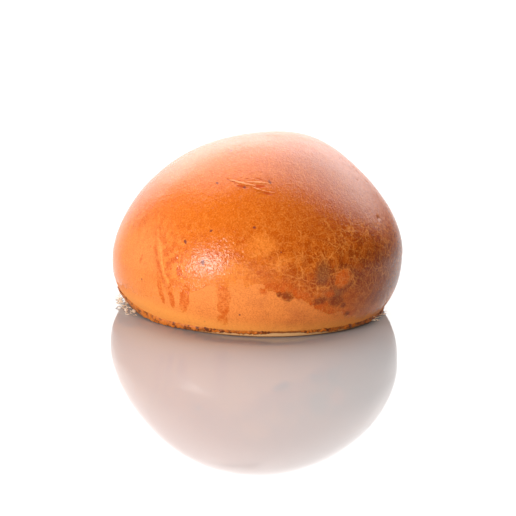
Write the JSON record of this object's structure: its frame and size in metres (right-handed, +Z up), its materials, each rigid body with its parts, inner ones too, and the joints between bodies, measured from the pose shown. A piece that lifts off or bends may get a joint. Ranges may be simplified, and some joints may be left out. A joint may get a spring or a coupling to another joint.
{
  "type": "glazed baked bun",
  "caption": "Round, uncut baked bun with a tall domed, glossy egg-washed crust, a ragged dark rim of baked wash at its foot and a flat underside.",
  "frame": {"origin": "under the middle of the bun, on the plane it rests on", "axes": "+Z up, +X to the right and +Y away from the side that the picture shows"},
  "size_m": [0.095, 0.0952, 0.057],
  "materials": {
    "crust": "egg-washed baked crust, orange brown, glossy with fine pale crackle",
    "rim": "dark caramelised egg wash",
    "flakes": "pale dry flakes of crust"
  },
  "bodies": {
    "root": {"bun": "crust"}
  },
  "joints": []
}
